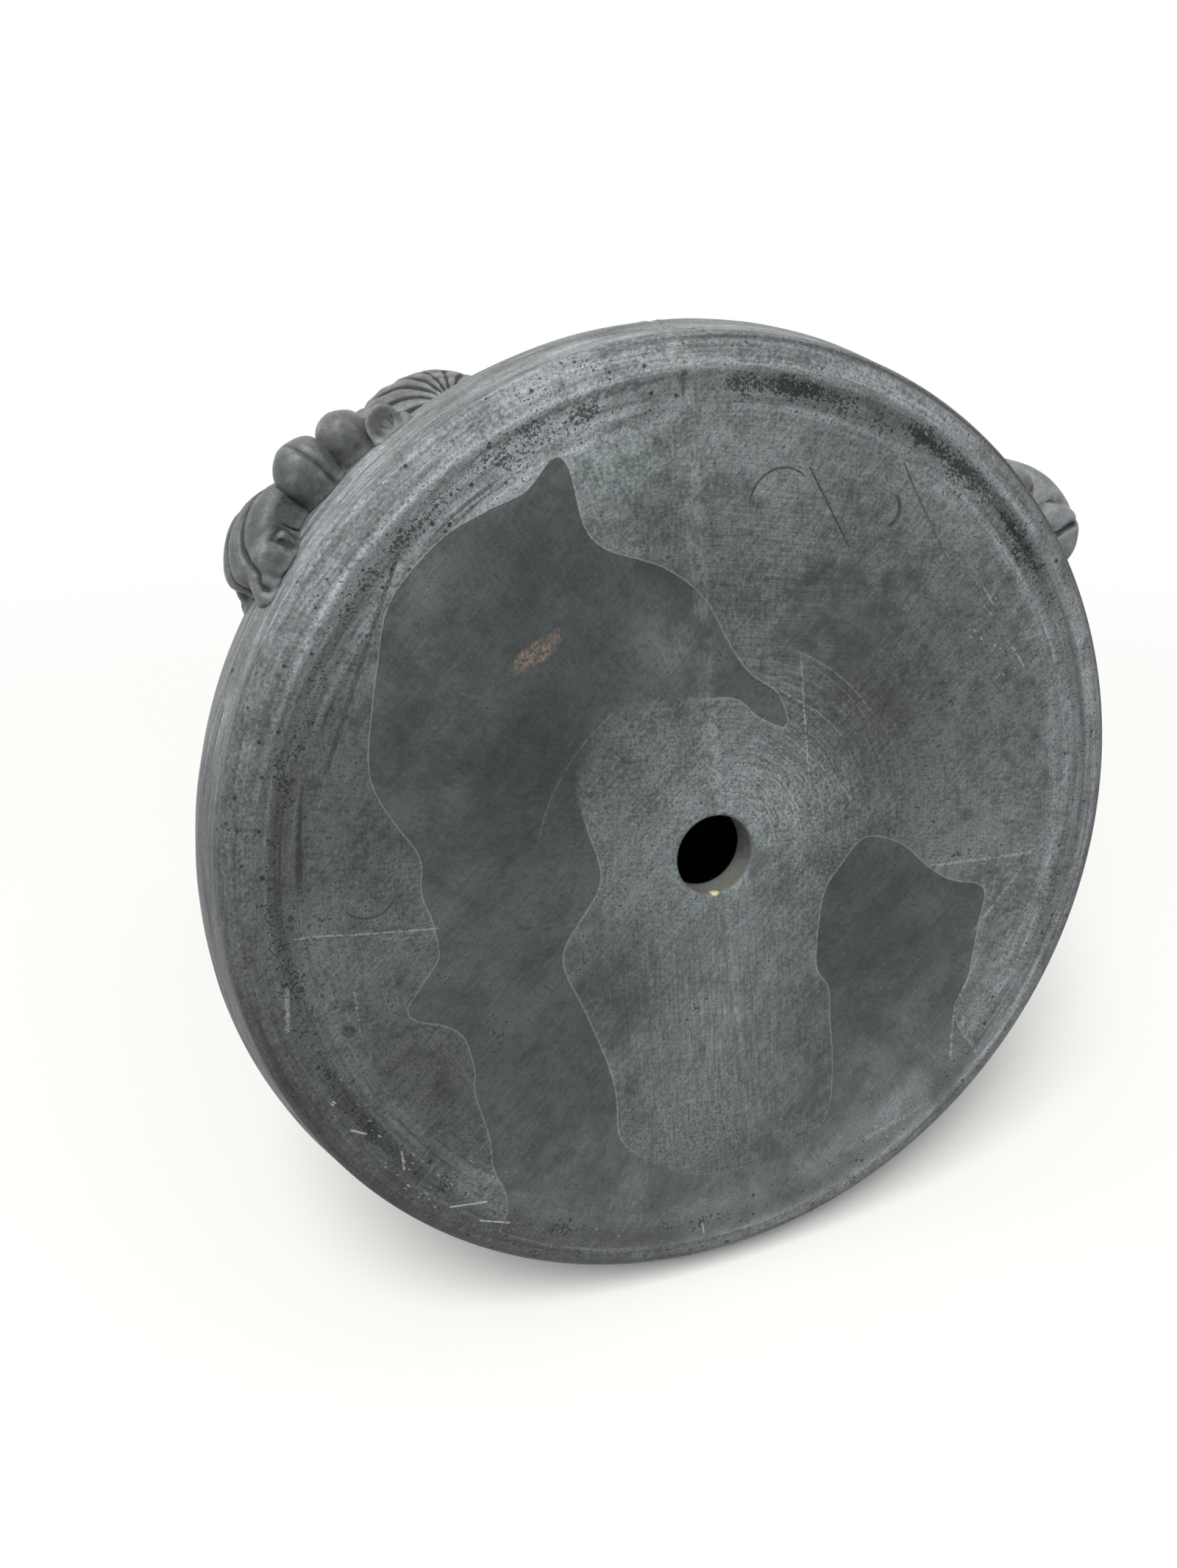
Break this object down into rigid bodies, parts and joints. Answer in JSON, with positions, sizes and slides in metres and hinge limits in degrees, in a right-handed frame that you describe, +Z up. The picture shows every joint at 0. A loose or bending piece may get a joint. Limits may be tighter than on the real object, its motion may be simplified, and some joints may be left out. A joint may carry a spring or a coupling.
{
  "type": "stoneware vase",
  "caption": "Large tapering stoneware vase on a broad foot slab with a drain hole, with a rolled lip and applied leaf, scroll and shell relief.",
  "frame": {"origin": "centre of the plane that the foot ring stands on", "axes": "+Z up through the mouth, the shell on the front of the vase faces -Y, +X to the viewer's right"},
  "size_m": [0.3, 0.3057, 0.38],
  "materials": {
    "slab": "matte burnished slate grey",
    "wall": "matte burnished slate grey",
    "relief": "satin slate grey, darker in the hollows"
  },
  "bodies": {
    "root": {"base_slab": "slab", "wall_left": "wall", "wall_right": "wall", "lip_coil": "wall", "shell_boss": "relief", "leaf_left": "relief", "leaf_right": "relief", "knop_left": "relief", "knop_right": "relief", "bud_left": "relief", "bud_right": "relief", "scroll_left": "relief", "scroll_right": "relief", "stem_left": "relief", "stem_right": "relief"}
  },
  "joints": []
}
